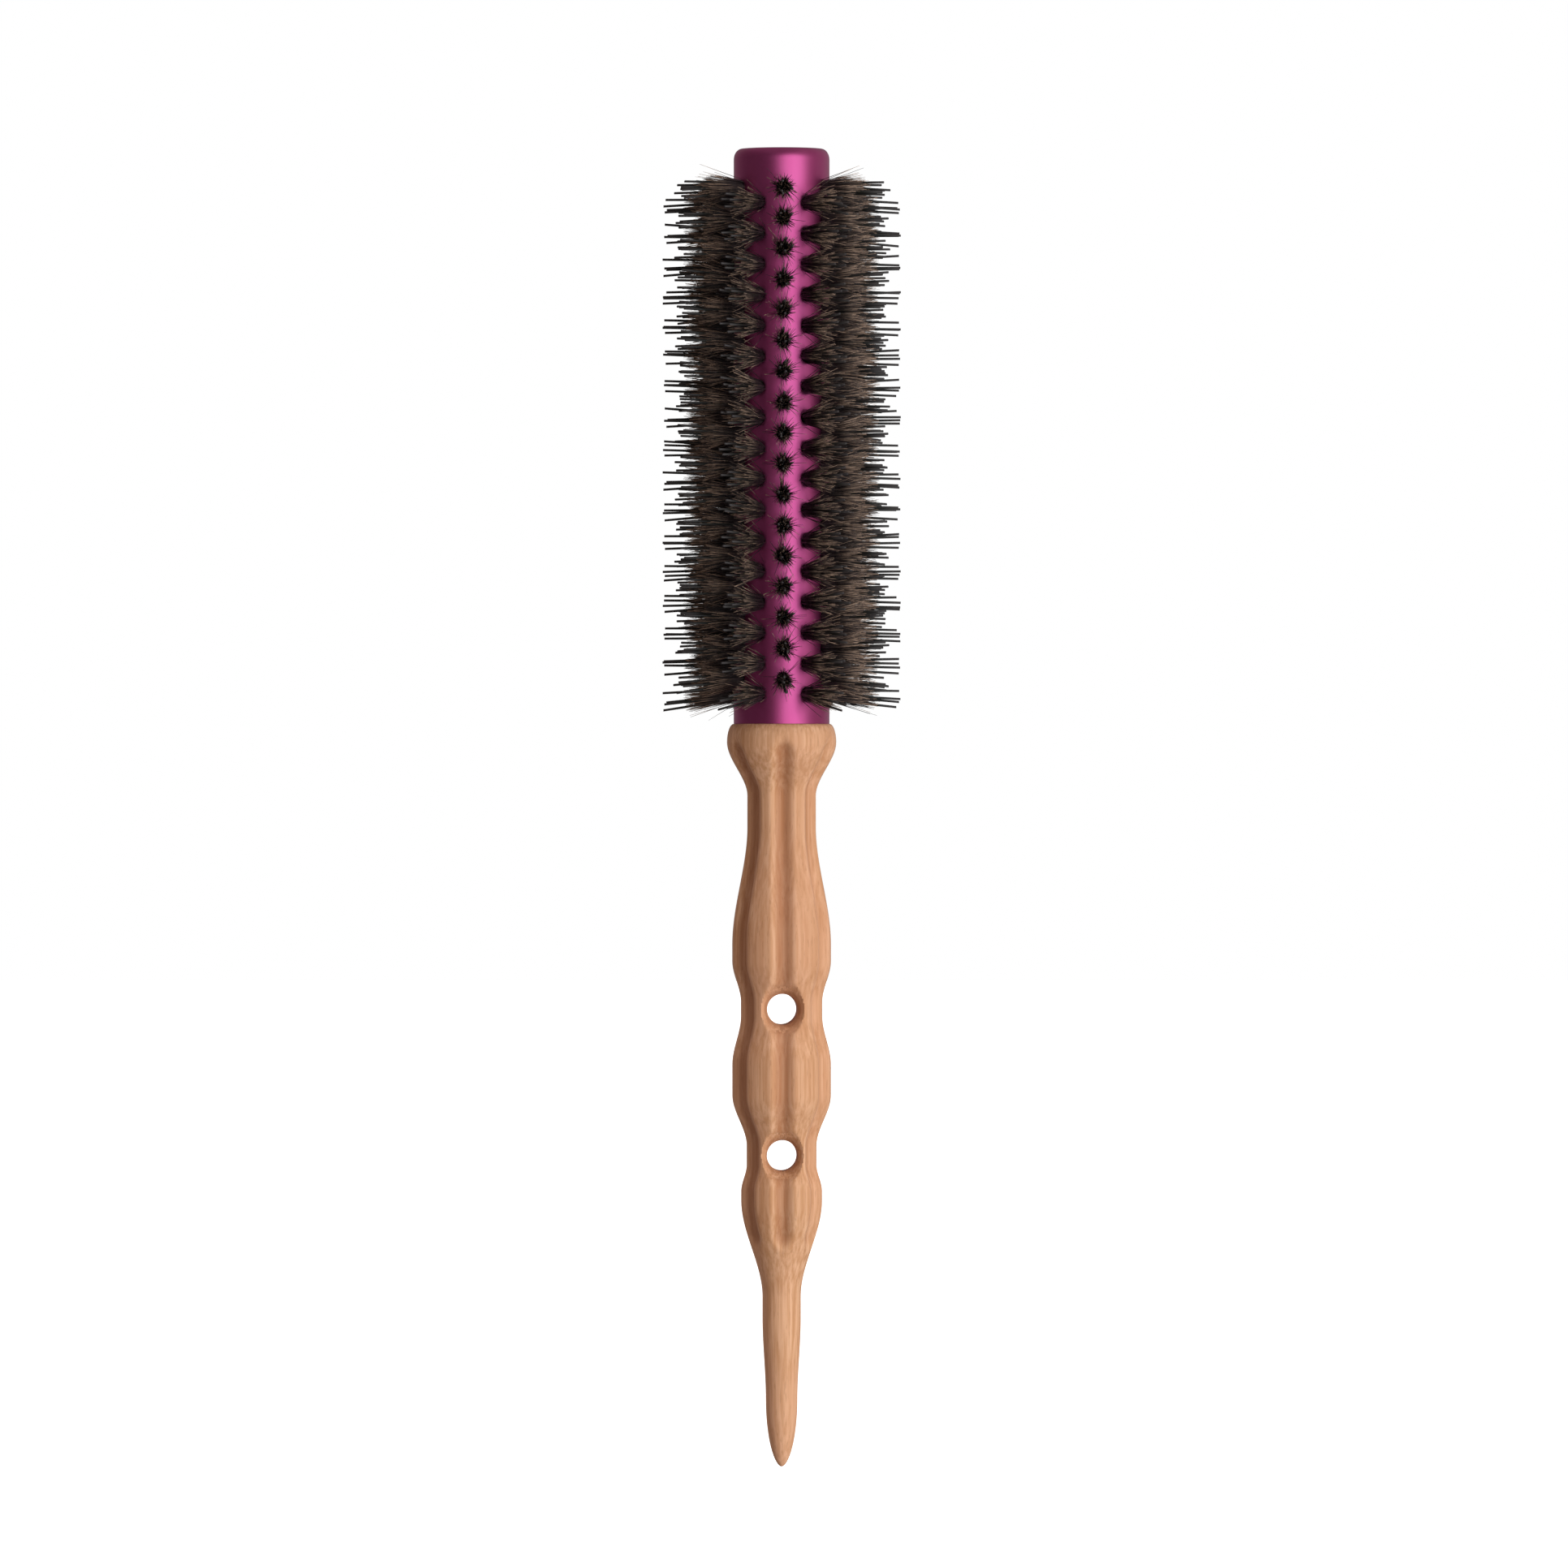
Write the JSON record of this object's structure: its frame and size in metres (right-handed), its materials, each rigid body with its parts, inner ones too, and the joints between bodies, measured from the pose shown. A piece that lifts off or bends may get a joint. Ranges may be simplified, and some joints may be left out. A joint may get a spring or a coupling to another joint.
{
  "type": "round barrel brush",
  "caption": "Round hair brush: perforated aluminium barrel with rows of boar and nylon tufts on a wooden core, and a turned, fluted wooden handle with cross holes and a pointed tail.",
  "frame": {"origin": "on the brush's axis, in the middle of the handle's upper belly, where the hand closes round it", "axes": "+Z along the axis from the pointed tail to the front of the barrel; -Y towards the first row of tufts and the mouths of the cross holes"},
  "size_m": [0.05, 0.05, 0.275],
  "materials": {
    "beech": "fine sanded, sealed",
    "core_wood": "cut end grain, unsealed",
    "anodised_aluminium": "satin anodised, magenta pink",
    "channel_steel": "plain folded sheet",
    "bristle": "dark boar bristle with brown tips and darker nylon pins"
  },
  "bodies": {
    "root": {"handle": "beech", "barrel_core": "core_wood", "barrel_sleeve": "anodised_aluminium", "tuft_channel_01": "channel_steel", "tuft_channel_02": "channel_steel", "tuft_channel_03": "channel_steel", "tuft_channel_04": "channel_steel", "tuft_channel_05": "channel_steel", "tuft_channel_06": "channel_steel", "tuft_channel_07": "channel_steel", "tuft_channel_08": "channel_steel", "tuft_channel_09": "channel_steel", "tuft_channel_10": "channel_steel", "tuft_channel_11": "channel_steel", "tuft_channel_12": "channel_steel", "tuft_row_01": "bristle", "tuft_row_02": "bristle", "tuft_row_03": "bristle", "tuft_row_04": "bristle", "tuft_row_05": "bristle", "tuft_row_06": "bristle", "tuft_row_07": "bristle", "tuft_row_08": "bristle", "tuft_row_09": "bristle", "tuft_row_10": "bristle", "tuft_row_11": "bristle", "tuft_row_12": "bristle"}
  },
  "joints": []
}
